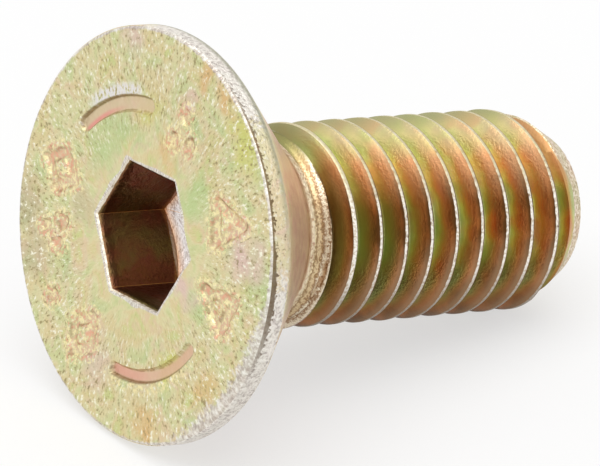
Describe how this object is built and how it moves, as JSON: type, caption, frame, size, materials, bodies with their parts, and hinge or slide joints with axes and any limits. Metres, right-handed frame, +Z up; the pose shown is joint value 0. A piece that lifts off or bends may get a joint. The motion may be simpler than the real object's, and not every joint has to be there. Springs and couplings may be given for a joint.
{
  "type": "countersunk socket screw",
  "caption": "Countersunk machine screw with a flat head, a hexagon socket and a right-hand thread up to the neck, in yellow chromated zinc plating.",
  "frame": {"origin": "middle of the bounding box, on the surface the screw lies on", "axes": "+X runs along the lying screw from its head to its tip, +Z is up; the screw's own axis lies in the XZ plane and dips 13.6 degrees towards the tip"},
  "size_m": [0.0214, 0.016, 0.0157],
  "materials": {
    "yellow_zinc": "yellow chromated zinc plating, slightly iridescent, on forged steel"
  },
  "bodies": {
    "root": {"countersunk_screw": "yellow_zinc"}
  },
  "joints": []
}
